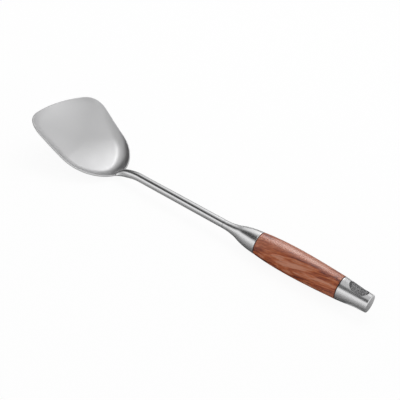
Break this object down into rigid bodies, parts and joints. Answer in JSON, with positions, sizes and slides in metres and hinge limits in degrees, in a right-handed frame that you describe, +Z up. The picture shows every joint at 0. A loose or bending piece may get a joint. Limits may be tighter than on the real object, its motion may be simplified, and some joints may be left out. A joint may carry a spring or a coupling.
{
  "type": "wok spatula",
  "caption": "Wok spatula: a dished steel blade with a curled heel on a bent round shank, a flared steel bolster, a hardwood grip and a steel end cap with a hanging hole.",
  "frame": {"origin": "on the worktop, under the middle of the whole spatula's box, as it lies on the blade's heel and the grip's belly", "axes": "+Z up from the worktop, +X from the blade to the end cap along the handle, +Y across the blade; the spatula is the same on both sides of the XZ plane"},
  "size_m": [0.369, 0.1008, 0.0436],
  "materials": {
    "satin_steel": "satin, finely brushed",
    "polished_steel": "satin polished, brushed along the handle",
    "stud_steel": "plain turned",
    "hardwood": "reddish hardwood, oiled satin"
  },
  "bodies": {
    "root": {"blade": "satin_steel", "shank": "polished_steel", "bolster": "polished_steel", "tang": "stud_steel", "grip": "hardwood", "end_cap": "polished_steel"}
  },
  "joints": []
}
